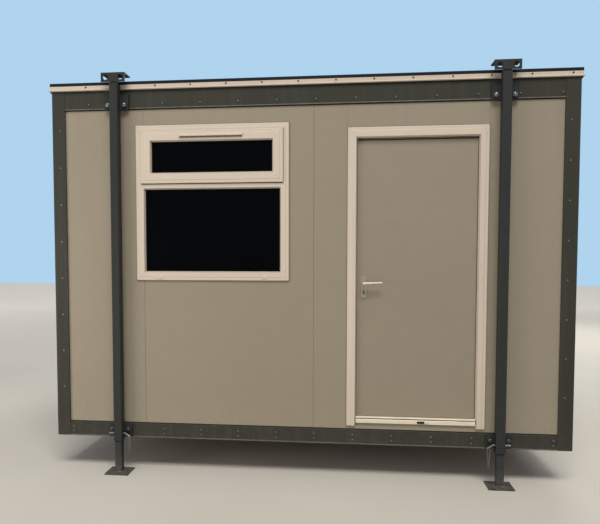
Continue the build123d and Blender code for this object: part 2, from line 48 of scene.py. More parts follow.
tilt_down = 2.861
roll = -0.043
turn_left = 5.899
camera_data = bpy.data.cameras.new("camera")
camera_data.lens = 34.76
camera_data.sensor_width = 36.0
camera_data.shift_x = 0.02316
camera_data.shift_y = 0.04403
camera_data.clip_start = 0.05
camera_data.clip_end = 200.0
camera = bpy.data.objects.new("camera", camera_data)
bpy.context.scene.collection.objects.link(camera)
camera.location = eye
camera.rotation_euler = (math.radians(90.0 - tilt_down), math.radians(roll), math.radians(turn_left))
bpy.context.scene.camera = camera
bpy.context.scene.view_settings.view_transform = "Standard"


class Socket:
    """Output of a shader node that takes part in sums, products and comparisons."""

    def __init__(self, tree, output):
        self.tree = tree
        self.output = output

    def maths(self, operation, first, second=None):
        node = self.tree.nodes.new("ShaderNodeMath")
        node.operation = operation
        for socket, value in zip(node.inputs, (first, second)):
            if isinstance(value, Socket):
                self.tree.links.new(value.output, socket)
            elif value is not None:
                socket.default_value = value
        return Socket(self.tree, node.outputs[0])

    def __add__(self, other):
        return self.maths("ADD", self, other)

    def __mul__(self, other):
        return self.maths("MULTIPLY", self, other)

    def __sub__(self, other):
        return self.maths("SUBTRACT", self, other)

    def __rsub__(self, other):
        return self.maths("SUBTRACT", other, self)

    def __gt__(self, other):
        return self.maths("GREATER_THAN", self, other)

    def __lt__(self, other):
        return self.maths("LESS_THAN", self, other)

    def __abs__(self):
        return self.maths("ABSOLUTE", self)


class Finish:
    """A surface finish: one material whose nodes are added by type."""

    def __init__(self, name, **constants):
        self.material = bpy.data.materials.new(name)
        self.material.use_nodes = True
        self.tree = self.material.node_tree
        self.shader = self.tree.nodes["Principled BSDF"]
        self.place = self.node("TexCoord", "Object")
        for socket, value in constants.items():
            self.shader.inputs[socket.replace("_", " ")].default_value = value

    def node(self, kind, output=0, settings=None, **inputs):
        """Any node: its type, its settings first, then the values or links of its sockets."""
        node = self.tree.nodes.new("ShaderNode" + kind)
        for name, value in (settings or {}).items():
            setattr(node, name, value)
        for name, value in inputs.items():
            socket = node.inputs[name.replace("_", " ")]
            if isinstance(value, Socket):
                self.tree.links.new(value.output, socket)
            else:
                socket.default_value = value
        return Socket(self.tree, node.outputs[output])

    def moved(self, scale, turn=(0, 0, 0)):
        """The piece's place, stretched or turned for a pattern."""
        return self.node("Mapping", Vector=self.place, Scale=scale, Rotation=turn)

    def cloud(self, size, detail=3.0, roughness=0.5, place=None):
        """Soft cloudy pattern with blotches about that many metres across, from 0 to 1."""
        place = place or self.place
        return self.node("TexNoise", Vector=place, Scale=1.0 / size, Detail=detail, Roughness=roughness)

    def fade(self, value, low, high, bottom=0.0, top=1.0):
        """Value carried from one range to another and held at its ends."""
        return self.node("MapRange", Value=value, From_Min=low, From_Max=high, To_Min=bottom, To_Max=top)

    def mix(self, share, first, second):
        """Colour between two colours."""
        node = self.tree.nodes.new("ShaderNodeMix")
        node.data_type = "RGBA"
        for socket, value in ((node.inputs[0], share), (node.inputs[6], first), (node.inputs[7], second)):
            if isinstance(value, Socket):
                self.tree.links.new(value.output, socket)
            else:
                socket.default_value = value
        return Socket(self.tree, node.outputs[2])

    def along(self, axis):
        """One coordinate of the piece's place, in metres."""
        return self.node("SeparateXYZ", "XYZ".index(axis), Vector=self.place)

    def feed(self, **links):
        """Links to the shader's own sockets."""
        for socket, value in links.items():
            self.tree.links.new(value.output, self.shader.inputs[socket.replace("_", " ")])

    def relief(self, value, depth):
        """Relief that is that many metres deep."""
        self.feed(Normal=self.node("Bump", Height=value, Distance=depth, Strength=1.0))

    def dress(self, *names):
        """Puts the finish on nodes of the frame."""
        for name in names:
            for holder in nodes[name].material_slots:
                holder.material = self.material


def paint(red, green, blue):
    """Linear colour of a paint given as it is seen, from 0 to 255."""
    shares = (red / 255, green / 255, blue / 255)
    linear = [share / 12.92 if share <= 0.04045 else ((share + 0.055) / 1.055) ** 2.4 for share in shares]
    return (*linear, 1.0)


floor_reach = 30.0
glow_from, glow_to = 5.0, 16.0
floor_finish = Finish("studio_floor", Roughness=0.9, Emission_Strength=1.0)
floor_cloud = floor_finish.cloud(1.8, 4.0)
away = floor_finish.node("VectorMath", 1, {"operation": "LENGTH"}, Vector=floor_finish.place)
glow = floor_finish.mix(floor_finish.fade(away, glow_from, glow_to), paint(0, 0, 0), paint(158, 152, 143))
colour = floor_finish.mix(floor_cloud, paint(186, 180, 169), paint(199, 193, 182))
floor_finish.feed(Base_Color=colour, Emission_Color=glow)
floor_mesh = bmesh.new()
bmesh.ops.create_grid(floor_mesh, x_segments=1, y_segments=1, size=floor_reach)
floor_data = bpy.data.meshes.new("studio_floor")
floor_mesh.to_mesh(floor_data)
floor_mesh.free()
floor = bpy.data.objects.new("studio_floor", floor_data)
floor_data.materials.append(floor_finish.material)
bpy.context.scene.collection.objects.link(floor)

ambient = (0.34, 0.35, 0.38, 1.0)
backdrop = paint(176, 211, 238)
world = bpy.data.worlds.new("studio")
bpy.context.scene.world = world
world.use_nodes = True
surround = world.node_tree
light_path = surround.nodes.new("ShaderNodeLightPath")
surround_mix = surround.nodes.new("ShaderNodeMix")
surround_mix.data_type = "RGBA"
surround_mix.inputs[6].default_value = ambient
surround_mix.inputs[7].default_value = backdrop
shown = Socket(surround, light_path.outputs["Is Camera Ray"])
for ray in ("Is Glossy Ray", "Is Transmission Ray"):
    shown = shown.maths("MAXIMUM", shown, Socket(surround, light_path.outputs[ray]))
surround.links.new(shown.output, surround_mix.inputs[0])
surround.links.new(surround_mix.outputs[2], surround.nodes["Background"].inputs["Color"])


def soft_lamp(name, place, target, size, power, tint):
    """Broad lamp that shines from a place towards a target."""
    lamp = bpy.data.lights.new(name, "AREA")
    lamp.shape = "RECTANGLE"
    lamp.size, lamp.size_y = size
    lamp.energy = power
    lamp.color = tint
    holder = bpy.data.objects.new(name, lamp)
    bpy.context.scene.collection.objects.link(holder)
    holder.location = place
    holder.rotation_euler = (Vector(target) - Vector(place)).to_track_quat("-Z", "Y").to_euler()


soft_lamp("front_lamp", place=(1.5, -13.5, 21.5), target=(-0.2, -1.2, 1.0), size=(14.0, 7.0), power=4800.0,
          tint=(1.0, 0.98, 0.94))
soft_lamp("left_lamp", place=(-5.4, -4.8, 1.2), target=(-1.2, -1.2, 1.1), size=(3.0, 2.4), power=125.0,
          tint=(1.0, 0.95, 0.9))
soft_lamp("back_lamp", place=(4.5, 8.0, 6.0), target=(0.0, 1.2, 1.3), size=(6.0, 3.5), power=420.0,
          tint=(1.0, 0.97, 0.93))

# Chassis: corner posts, rails and joists folded or pressed from sheet steel, sprayed a satin olive grey.
# Splashes from the ground have dried pale on the lowest hand's breadth, and rain has left faint runs.
# The lips of the rails are painted paler between the posts in mottled patches: a painted highlight where their
# folded edges catch the light.
post_low, post_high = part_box("front_left_post")
rail_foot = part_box("front_bottom_rail")[0].z
hem_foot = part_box("front_top_rail")[0].z
lip_tall = 0.008
splash_low, splash_high = 0.25, 0.42
chassis = Finish("chassis_paint", Specular_IOR_Level=0.12)
height = chassis.along("Z")
blotch = chassis.cloud(0.45, 5.0, 0.6)
runs = chassis.cloud(0.05, 3.0, 0.5, chassis.moved(scale=(1.0, 1.0, 0.05)))
colour = chassis.mix(blotch, paint(50, 50, 43), paint(59, 58, 50))
colour = chassis.mix(chassis.fade(runs, 0.5, 0.8, 0.0, 0.16), colour, paint(96, 92, 80))
splash = chassis.fade(height, splash_low, splash_high, 0.14, 0.0)
splash = splash * chassis.fade(chassis.cloud(0.018, 5.0, 0.7), 0.42, 0.66)
colour = chassis.mix(splash, colour, paint(120, 111, 95))
# Painted highlight: the lips of the bottom rails and the hems of the top rails are painted paler between the
# posts, standing in for light caught by their folded edges.
corner = (abs(chassis.along("X")) > -post_high.x) * (abs(chassis.along("Y")) > -post_high.y)
hem = (height > hem_foot + 0.001) * (height < hem_foot + lip_tall)
lips = (height < rail_foot + lip_tall) * 0.5 + hem * 0.7
lip_highlight = chassis.fade(chassis.cloud(0.04, 4.0, 0.6), 0.3, 0.6, 0.35, 0.8) * lips * (1 - corner)
colour = chassis.mix(lip_highlight, colour, paint(122, 118, 106))
chassis.feed(Base_Color=colour, Roughness=chassis.fade(blotch + splash, 0.3, 1.1, 0.42, 0.66))
chassis.relief(chassis.cloud(0.0035, 2.0), 0.00012)
chassis.dress(*[name for name in nodes if name.endswith(("_post", "_rail"))], "floor_joists")

# Screws of the chassis: self-drilling, with a hexagon head on a pressed washer, zinc plated.
# They run in rows along the rails and down the posts at a steady pitch of about 270 mm.
half_x = -post_low.x
half_y = -post_low.y
rail_face_x = -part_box("left_top_rail")[0].x
rail_face_y = -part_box("front_bottom_rail")[0].y
foot_plate_half = 0.086
leg_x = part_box("leg_inner_tubes")[1].x - foot_plate_half
head_washer = 0.013
head_across = 0.008
washer_top_share = 0.44
hexagon_top_share = 0.45
head_thick = 0.0018
head_tall = 0.0045
behind_leg = 0.095


def facing(outward):
    """Turn that lays the Z axis along a direction."""
    return Vector(outward).to_track_quat("Z", "Y").to_matrix().to_4x4()


def screw_head(mesh, seat, outward, scale=1.0):
    """Washer with a hexagon head on it, seated on a face."""
    place = Matrix.Translation(seat) @ facing(outward) @ Matrix.Scale(scale, 4)
    washer_place = place @ Matrix.Translation((0, 0, head_thick / 2))
    hexagon_place = place @ Matrix.Translation((0, 0, head_thick + head_tall / 2))
    bmesh.ops.create_cone(mesh, cap_ends=True, segments=12, radius1=head_washer / 2,
                          radius2=head_washer * washer_top_share, depth=head_thick, matrix=washer_place)
    bmesh.ops.create_cone(mesh, cap_ends=True, segments=6, radius1=head_across / 2,
                          radius2=head_across * hexagon_top_share, depth=head_tall, matrix=hexagon_place)


def screw_row(mesh, start, end, count, outward, scale=1.0):
    """Row of heads between two points, without those that a leg or its plates cover."""
    for index in range(count):
        seat = Vector(start).lerp(Vector(end), index / (count - 1))
        covered = abs(outward[1]) > 0.5 and abs(abs(seat.x) - leg_x) < behind_leg
        if not covered:
            screw_head(mesh, seat, outward, scale)


def add_piece(name, mesh, finish, body="cabin", crease=35.0):
    """Finished object from a mesh in work, smooth up to the crease angle, riding on its body."""
    data = bpy.data.meshes.new(name)
    mesh.to_mesh(data)
    mesh.free()
    data.materials.append(finish.material)
    data.shade_smooth()
    data.set_sharp_from_angle(angle=math.radians(crease))
    piece = bpy.data.objects.new(name, data)
    bpy.context.scene.collection.objects.link(piece)
    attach(piece, body)
    return piece


zinc = Finish("zinc_plate", Metallic=0.7)
zinc_cloud = zinc.cloud(0.004, 4.0, 0.7)
zinc.feed(Base_Color=zinc.mix(zinc_cloud, paint(104, 102, 95), paint(146, 143, 134)),
          Roughness=zinc.fade(zinc_cloud, 0.3, 0.7, 0.28, 0.5))
screws = bmesh.new()
top_screw_z = 2.646
low_screw_z = (0.314, 0.2775)
top_from, top_to, top_count = -1.547, 1.709, 13
low_from, low_to, low_count = -1.012, 1.699, 11
lone_x = -1.698
side_reach, side_count = 1.084, 9
post_screw_in = 0.064
post_screw_low, post_screw_high, post_count = 0.609, 2.464, 8
for out in (-1, 1):
    long_way, short_way = (0, out, 0), (out, 0, 0)
    x, y = out * rail_face_x, out * rail_face_y
    screw_row(screws, (top_from, y, top_screw_z), (top_to, y, top_screw_z), top_count, long_way)
    screw_row(screws, (x, -side_reach, top_screw_z), (x, side_reach, top_screw_z), side_count, short_way)
    for z in low_screw_z:
        screw_head(screws, (lone_x, y, z), long_way)
        screw_row(screws, (low_from, y, z), (low_to, y, z), low_count, long_way)
        screw_row(screws, (x, -side_reach, z), (x, side_reach, z), side_count, short_way)
    for end in (-1, 1):
        x, y = end * (half_x - post_screw_in), out * half_y
        screw_row(screws, (x, y, post_screw_low), (x, y, post_screw_high), post_count, long_way)
        x, y = out * half_x, end * (half_y - post_screw_in)
        screw_row(screws, (x, y, post_screw_low), (x, y, post_screw_high), post_count, short_way)
add_piece("chassis_screws", screws, zinc)

# Wall panels: foam core between coated steel skins, a warm stone grey outside and white laminate inside.
# The coat is finely pebbled, a little dusty under the top rail and splashed along the foot.
panel = Finish("panel_coat", Specular_IOR_Level=0.25)
room_x = -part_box("left_wall")[1].x
room_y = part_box("back_wall")[0].y
lining_thick = 0.001
splash_low, splash_high = 0.35, 0.62
height = panel.along("Z")
inside = abs(panel.along("X")) < room_x + lining_thick
inside = inside * (abs(panel.along("Y")) < room_y + lining_thick)
broad = panel.cloud(1.1, 2.0, 0.4)
fine = panel.cloud(0.12, 5.0, 0.65)
runs = panel.cloud(0.06, 4.0, 0.55, panel.moved(scale=(1.0, 1.0, 0.04)))
colour = panel.mix(broad, paint(139, 129, 111), paint(145, 135, 117))
colour = panel.mix(panel.fade(fine, 0.35, 0.7, 0.0, 0.12), colour, paint(124, 114, 96))
drip = panel.fade(runs, 0.52, 0.78) * panel.fade(height, 1.9, 2.6, 0.03, 0.17)
colour = panel.mix(drip, colour, paint(112, 104, 88))
splash = panel.fade(height, splash_low, splash_high, 0.38, 0.0)
splash = splash * panel.fade(panel.cloud(0.014, 5.0, 0.7), 0.45, 0.68)
colour = panel.mix(splash, colour, paint(166, 152, 130))
lining = panel.mix(fine, paint(222, 220, 213), paint(232, 230, 224))
panel.feed(Base_Color=panel.mix(inside, colour, lining),
           Roughness=panel.fade(fine + splash, 0.3, 1.0, 0.40, 0.60))
panel.relief(panel.cloud(0.0022, 3.0, 0.6), 0.00010)
panel.dress(*[name for name in nodes if "wall" in name])

# Joint seals: a ribbon of grey mastic pressed into each upright joint between two panels.
# It lies just under the faces of the panels and runs from the bottom rail to the top rail.
# One grey finish serves the joint mastic and the frame sealant, whose darker grey is painted shade.
mastic_and_shade = Finish("grey_mastic_and_shade", Roughness=0.7)
mastic_cloud = mastic_and_shade.cloud(0.02, 3.0)
mastic_and_shade.feed(Base_Color=mastic_and_shade.mix(mastic_cloud, paint(104, 97, 83), paint(116, 108, 93)))
mastic_and_shade.relief(mastic_and_shade.cloud(0.006, 3.0), 0.0003)
panel_face_y = -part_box("front_wall_middle_panel")[0].y
panel_face_x = -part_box("left_wall")[0].x
wall_low, wall_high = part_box("front_wall_middle_panel")
seal_width = 0.004
seal_sunk = 0.0012
seal_deep = 0.003
back_panels = 3


def bar(mesh, low, high, ease=0.0):
    """Straight bar between two corners, with its edges eased."""
    low, high = Vector(low), Vector(high)
    size = high - low
    stretch = Matrix.Diagonal((abs(size.x), abs(size.y), abs(size.z), 1.0))
    place = Matrix.Translation((low + high) / 2) @ stretch
    made = bmesh.ops.create_cube(mesh, size=1.0, matrix=place)
    if ease:
        edges = list({edge for vert in made["verts"] for edge in vert.link_edges})
        bmesh.ops.bevel(mesh, geom=edges, affect="EDGES", offset=ease, segments=2, profile=0.5, material=-1)


seals = bmesh.new()
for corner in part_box("front_wall_window_panel"):
    x = corner.x
    bar(seals, (x - seal_width / 2, -panel_face_y + seal_sunk, wall_low.z),
        (x + seal_width / 2, -panel_face_y + seal_sunk + seal_deep, wall_high.z))
back_low, back_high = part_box("back_wall")
back_pitch = (back_high.x - back_low.x) / back_panels
for x in (-back_pitch / 2, back_pitch / 2):
    bar(seals, (x - seal_width / 2, panel_face_y - seal_sunk - seal_deep, wall_low.z),
        (x + seal_width / 2, panel_face_y - seal_sunk, wall_high.z))
for out in (-1, 1):
    face = out * (panel_face_x - seal_sunk)
    bar(seals, (face, -seal_width / 2, wall_low.z), (face - out * seal_deep, seal_width / 2, wall_high.z))
bmesh.ops.recalc_face_normals(seals, faces=seals.faces)
add_piece("panel_joint_seals", seals, mastic_and_shade)

# Edge strips: black strips in the corners where the panels meet the bottom rails and the top rails, from post to
# post, and one more round under the roof trims. They are painted shade: dark bars that stand in for the shadow
# lines there.
# One black finish serves the rubber gaskets and the dark strips and bars that are painted shade.
rubber_and_shade = Finish("black_rubber_and_shade", Roughness=0.6, Specular_IOR_Level=0.2)
rubber_and_shade_cloud = rubber_and_shade.cloud(0.01, 3.0)
rubber_and_shade.feed(Base_Color=rubber_and_shade.mix(rubber_and_shade_cloud, paint(20, 20, 19), paint(32, 31, 29)))
edge_shadow_strips = bmesh.new()
edge_tall = 0.006
edge_proud = 0.003
edge_sunk = 0.001
edge_ease = 0.001
post_wide = 0.102
trim_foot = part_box("front_roof_trim")[0].z
trim_shadow_half = 0.004
trim_shadow_tall = 0.007
for out in (-1, 1):
    for z in (wall_low.z, hem_foot - edge_tall):
        top = z + edge_tall
        reach, face = half_x - post_wide, out * panel_face_y
        bar(edge_shadow_strips, (-reach, face - out * edge_sunk, z), (reach, face + out * edge_proud, top), edge_ease)
        reach, face = half_y - post_wide, out * panel_face_x
        bar(edge_shadow_strips, (face - out * edge_sunk, -reach, z), (face + out * edge_proud, reach, top), edge_ease)
    low, high = trim_foot - trim_shadow_tall, trim_foot + edge_sunk
    near, far = out * (half_y - trim_shadow_half), out * (half_y + trim_shadow_half)
    bar(edge_shadow_strips, (-half_x, near, low), (half_x, far, high), edge_ease)
    near, far = out * (half_x - trim_shadow_half), out * (half_x + trim_shadow_half)
    bar(edge_shadow_strips, (near, -half_y, low), (far, half_y, high), edge_ease)
bmesh.ops.recalc_face_normals(edge_shadow_strips, faces=edge_shadow_strips.faces)
add_piece("panel_edge_shadow_strips", edge_shadow_strips, rubber_and_shade)

# Roof trims: cream coated steel strips, folded to a drip and screwed to the kerb.
# The heads of their screws are dark bronze and sit a little above the middle of the face.
trim_coat = Finish("trim_coat")
trim_cloud = trim_coat.cloud(0.25, 5.0, 0.6)
trim_runs = trim_coat.cloud(0.03, 4.0, 0.6, trim_coat.moved(scale=(1.0, 1.0, 0.25)))
colour = trim_coat.mix(trim_cloud, paint(184, 169, 152), paint(195, 180, 162))
colour = trim_coat.mix(trim_coat.fade(trim_runs, 0.55, 0.8, 0.0, 0.25), colour, paint(150, 136, 112))
trim_coat.feed(Base_Color=colour, Roughness=trim_coat.fade(trim_cloud, 0.3, 0.7, 0.34, 0.5))
trim_coat.dress(*[name for name in nodes if name.endswith("_roof_trim")])
bronze = Finish("bronze_head", Metallic=0.3)
bronze_cloud = bronze.cloud(0.006, 3.0)
bronze.feed(Base_Color=bronze.mix(bronze_cloud, paint(38, 30, 25), paint(54, 44, 36)),
            Roughness=bronze.fade(bronze_cloud, 0.3, 0.7, 0.4, 0.6))
roof_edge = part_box("roof_membrane")[1]
trim_screw_z = 2.769
trim_screw_x = (-1.566, -1.057, -0.803, -0.548, -0.295, -0.042, 0.217, 0.475, 0.736, 0.998, 1.249, 1.4015,
                1.509, 1.769)
trim_side_reach, trim_side_count = 1.15, 10
trim_front_scale, trim_side_scale = 0.95, 0.75
trim_screws = bmesh.new()
for out in (-1, 1):
    for x in trim_screw_x:
        screw_head(trim_screws, (-out * x, out * roof_edge.y, trim_screw_z), (0, out, 0), trim_front_scale)
    x = out * roof_edge.x
    screw_row(trim_screws, (x, -trim_side_reach, trim_screw_z), (x, trim_side_reach, trim_screw_z),
              trim_side_count, (out, 0, 0), trim_side_scale)
add_piece("trim_screws", trim_screws, bronze)

# Roof covering: black rubber sheet, dressed over the kerb and glued down in the tray.
# Its widths are lapped across the roof, and pale dust has settled where rain water stands.
ceiling_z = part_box("roof_deck")[0].z
deck_tall = 0.088
sheet_thick = 0.004
tray_floor = ceiling_z + deck_tall + sheet_thick
dust_tall = 0.01
sheet = Finish("roof_rubber", Specular_IOR_Level=0.15)
dust = sheet.fade(sheet.cloud(0.5, 5.0, 0.6), 0.45, 0.75) * (sheet.along("Z") < tray_floor + dust_tall)
colour = sheet.mix(sheet.cloud(0.08, 4.0), paint(17, 19, 21), paint(25, 27, 29))
sheet.feed(Base_Color=sheet.mix(dust * 0.35, colour, paint(98, 94, 86)),
           Roughness=sheet.fade(dust, 0.0, 1.0, 0.5, 0.8))
sheet.relief(sheet.cloud(0.01, 4.0), 0.0004)
sheet.dress("roof_membrane")
laps = bmesh.new()
lap_half = 0.03
lap_thick = 0.0015
lap_ease = 0.0006
kerb_wide = 0.055
tray_half_y = roof_edge.y - kerb_wide
lap_count = 3
for index in range(lap_count):
    x = roof_edge.x * 2 * ((index + 1) / (lap_count + 1) - 0.5)
    bar(laps, (x - lap_half, -tray_half_y, tray_floor),
        (x + lap_half, tray_half_y, tray_floor + lap_thick), lap_ease)
add_piece("roof_laps", laps, sheet)

# Decks: the floor is plywood below and speckled vinyl above, and the roof shows its white ceiling inside.
# Vinyl and plywood are told apart by height, because the floor is one sandwich.
floor_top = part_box("floor_deck")[1].z
vinyl_thick = 0.001
deck = Finish("floor_boards")
height = deck.along("Z")
plank = deck.cloud(0.02, 6.0, 0.6, deck.moved(scale=(0.06, 1.0, 1.0)))
ply = deck.mix(plank, paint(140, 108, 72), paint(176, 142, 100))
vinyl = deck.mix(deck.cloud(0.004, 2.0) > 0.55, paint(112, 114, 116), paint(132, 134, 136))
deck.feed(Base_Color=deck.mix(height > floor_top - vinyl_thick, ply, vinyl),
          Roughness=deck.fade(plank, 0.3, 0.7, 0.5, 0.65))
deck.dress("floor_deck")
ceiling = Finish("ceiling_board")
ceiling_cloud = ceiling.cloud(0.3, 4.0)
ceiling.feed(Base_Color=ceiling.mix(ceiling_cloud, paint(226, 225, 220), paint(234, 233, 229)),
             Roughness=ceiling.fade(ceiling_cloud, 0.3, 0.7, 0.5, 0.65))
ceiling.dress("roof_deck")

# Window and door frames: extruded plastic, cream white, welded at mitred corners.
# Fine dust dulls them in patches, and each weld shows as a hairline across its corner.
frame_member = 0.066
sash_member = 0.079
hairline = 0.0007


def plastic_finish(name, low, high, member, mitred_foot):
    """Finish of one welded frame, with a hairline at each mitre of its outer corners."""
    plastic = Finish(name, Coat_Weight=0.15, Coat_Roughness=0.2)
    centre = (low + high) / 2
    side_in = (high.x - low.x) / 2 - abs(plastic.along("X") - centre.x)
    if mitred_foot:
        end_in = (high.z - low.z) / 2 - abs(plastic.along("Z") - centre.z)
    else:
        end_in = high.z - plastic.along("Z")
    weld = (abs(side_in - end_in) < hairline) * (side_in < member)
    tone = plastic.cloud(0.4, 4.0)
    grime = plastic.fade(plastic.cloud(0.05, 5.0, 0.7), 0.5, 0.8, 0.0, 0.07)
    colour = plastic.mix(tone, paint(193, 178, 161), paint(201, 187, 169))
    colour = plastic.mix(grime, colour, paint(160, 146, 120))
    plastic.feed(Base_Color=plastic.mix(weld * 0.45, colour, paint(120, 108, 90)),
                 Roughness=plastic.fade(grime, 0.0, 0.07, 0.28, 0.42))
    return plastic


window_low, window_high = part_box("window_frame")
sash_low, sash_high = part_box("vent_sash")
frame_low, frame_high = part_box("door_frame")
plastic_finish("window_plastic", window_low, window_high, frame_member, True).dress("window_frame")
sash_plastic = plastic_finish("sash_plastic", sash_low, sash_high, sash_member, True)
sash_plastic.dress("vent_sash", "trickle_vent")
plastic_finish("door_plastic", frame_low, frame_high, frame_member, False).dress("door_frame")

# Glass: sealed double glazing, coloured nearly black and 88 percent opaque: painted shade standing in for the
# dark, empty cabin seen through it.
# Rain spots and wiping have left it a shade less clear in patches.
glass = Finish("dark_glass", Alpha=0.88, IOR=1.45, Specular_IOR_Level=0.04)
smear = glass.cloud(0.25, 5.0, 0.6, glass.moved(turn=(0, 0.5, 0), scale=(1.0, 1.0, 0.4)))
glass.feed(Base_Color=glass.mix(smear, paint(2, 2, 3), paint(6, 7, 8)),
           Roughness=glass.fade(smear, 0.4, 0.8, 0.02, 0.09))
glass.dress("upper_glass", "lower_glass")

# Rubber gaskets: black strips pressed between glass and beads, between sash and frame, and round the door.
# The one round the door sits on the stop of the frame, and the leaf closes against it. A black bar under the
# head,
# built with them, is painted shade: it stands in for the shadow that the head of the frame casts over the leaf.


def ring(mesh, low, high, width, y_front, y_back):
    """Flat closed frame of one width round an upright opening, given by its outer corners."""
    centre = (low + high) / 2
    upright = Matrix.Rotation(math.radians(90.0), 4, "X")
    place = Matrix.Translation((centre.x, y_front, centre.z)) @ upright
    size = Matrix.Diagonal(((high.x - low.x) / 2, (high.z - low.z) / 2, 1.0, 1.0))
    made = bmesh.ops.create_grid(mesh, x_segments=1, y_segments=1, size=1.0, matrix=place @ size)
    face = made["verts"][0].link_faces[0]
    rim = bmesh.ops.inset_individual(mesh, faces=[face], thickness=width)["faces"]
    bmesh.ops.delete(mesh, geom=[face], context="FACES_ONLY")
    grown = bmesh.ops.extrude_face_region(mesh, geom=rim)["geom"]
    moved = [item for item in grown if isinstance(item, bmesh.types.BMVert)]
    bmesh.ops.translate(mesh, vec=(0, y_back - y_front, 0), verts=moved)


def widened(box, by):
    """The corners of a box, moved outwards in X and Z."""
    low, high = box
    return low - Vector((by, 0, by)), high + Vector((by, 0, by))


gaskets_and_shade_bar = bmesh.new()
gasket_width = 0.004
gasket_proud = 0.0015
for name in ("upper_glass", "lower_glass"):
    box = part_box(name)
    ring(gaskets_and_shade_bar, *box, gasket_width, box[0].y - gasket_proud, box[0].y)
    ring(gaskets_and_shade_bar, *box, gasket_width, box[1].y + gasket_proud, box[1].y)
sash_gap = 0.0015
sash_gasket_width = 0.006
sash_gasket_proud = 0.0022
sash_corners = widened((sash_low, sash_high), sash_gap)
ring(gaskets_and_shade_bar, *sash_corners, sash_gasket_width, window_low.y - sash_gasket_proud, window_low.y)
bedded = 0.001
leaf_low, leaf_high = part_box("door_leaf")
leaf_out, leaf_foot_out = 0.003, 0.004
stop_gap = 0.005
leaf_gap = 0.0003
stop_y = leaf_low.y - stop_gap
leaf_y = leaf_low.y - leaf_gap
door_gasket_width = 0.022
door_corners = (leaf_low - Vector((leaf_out, 0, leaf_foot_out)), leaf_high + Vector((leaf_out, 0, leaf_out)))
ring(gaskets_and_shade_bar, *door_corners, door_gasket_width, stop_y, leaf_y)
# Painted shade: a black bar just below the top of the door gasket deepens the dark line over the leaf.
head_shadow_bar_tall = 0.006
head_shadow_bar_in = 0.015
head_shadow_bar_z = door_corners[1].z - door_gasket_width
bar(gaskets_and_shade_bar, (leaf_low.x + head_shadow_bar_in, stop_y, head_shadow_bar_z - head_shadow_bar_tall),
    (leaf_high.x - head_shadow_bar_in, leaf_y, head_shadow_bar_z + bedded))
bmesh.ops.recalc_face_normals(gaskets_and_shade_bar, faces=gaskets_and_shade_bar.faces)
add_piece("rubber_gaskets_and_shade_bar", gaskets_and_shade_bar, rubber_and_shade)

# Sealant: a smoothed bead of silicone closes the joint between each frame and the wall.
# It takes the grey joint mastic, darker than the wall: painted shade that stands in for the shadow line the
# frame casts on the wall.
sealant = bmesh.new()
bead = 0.004
bead_proud = 0.003
wall_y = -panel_face_y
bead_y = wall_y - bead_proud
bead_top = frame_high.z + bead
ring(sealant, *widened((window_low, window_high), bead), bead, bead_y, wall_y)
for x in (frame_low.x - bead, frame_high.x):
    bar(sealant, (x, bead_y, frame_low.z), (x + bead, wall_y, bead_top))
bar(sealant, (frame_low.x, bead_y, frame_high.z), (frame_high.x, wall_y, bead_top))
bmesh.ops.recalc_face_normals(sealant, faces=sealant.faces)
add_piece("frame_sealant", sealant, mastic_and_shade)

# Drain caps: two small moulded hoods that cover the water slots in the foot of the window frame.
# Each has rounded shoulders and is clipped on about 175 mm from the corner of the frame.
caps = bmesh.new()
cap_wide = 0.034
cap_tall = 0.010
cap_proud = 0.004
cap_deep = 0.004
cap_ease = 0.002
cap_in = 0.175
cap_up = 0.019
cap_z = window_low.z + cap_up
for x in (window_low.x + cap_in, window_high.x - cap_in):
    bar(caps, (x - cap_wide / 2, window_low.y - cap_proud, cap_z - cap_tall / 2),
        (x + cap_wide / 2, window_low.y + cap_deep, cap_z + cap_tall / 2), cap_ease)
add_piece("drain_caps", caps, sash_plastic)

# Trickle vent: under the hood a black strip lies behind a row of narrow upright slats: painted shade standing in
# for the dark slot under the hood. Hood and slats are one moulding. A black strip under the foot of the sash is
# painted shade as well, for the shadow line beneath it.
vent_low, vent_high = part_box("trickle_vent")
slot_shade_tall = 0.0105
slot_shade_foot = vent_low.z - slot_shade_tall
slot_shade_in = 0.003
slot_shade_proud = 0.0012
slat_pitch = 0.009
slat_wide = 0.0024
slat_proud = 0.0028
slot_shade = bmesh.new()
bar(slot_shade, (vent_low.x + slot_shade_in, vent_high.y - slot_shade_proud, slot_shade_foot),
    (vent_high.x - slot_shade_in, vent_high.y + bedded, vent_low.z))
add_piece("vent_slot_shade", slot_shade, rubber_and_shade)
slats = bmesh.new()
slat_count = int((vent_high.x - vent_low.x - 2 * slot_shade_in) / slat_pitch)
for index in range(slat_count + 1):
    x = vent_low.x + slot_shade_in + index * slat_pitch
    bar(slats, (x, vent_high.y - slat_proud, slot_shade_foot),
        (x + slat_wide, vent_high.y + bedded, vent_low.z + bedded))
add_piece("vent_slats", slats, sash_plastic)
# Painted shade: a black strip under the foot of the sash stands in for the shadow line beneath it.
strip_in = 0.004
strip_tall = 0.005
strip_ease = 0.001
strip_front, strip_back = wall_y - 0.018, wall_y - 0.013
sash_foot_shade = bmesh.new()
bar(sash_foot_shade, (sash_low.x + strip_in, strip_front, sash_low.z - strip_tall),
    (sash_high.x - strip_in, strip_back, sash_low.z), strip_ease)
add_piece("sash_foot_shadow_strip", sash_foot_shade, rubber_and_shade)

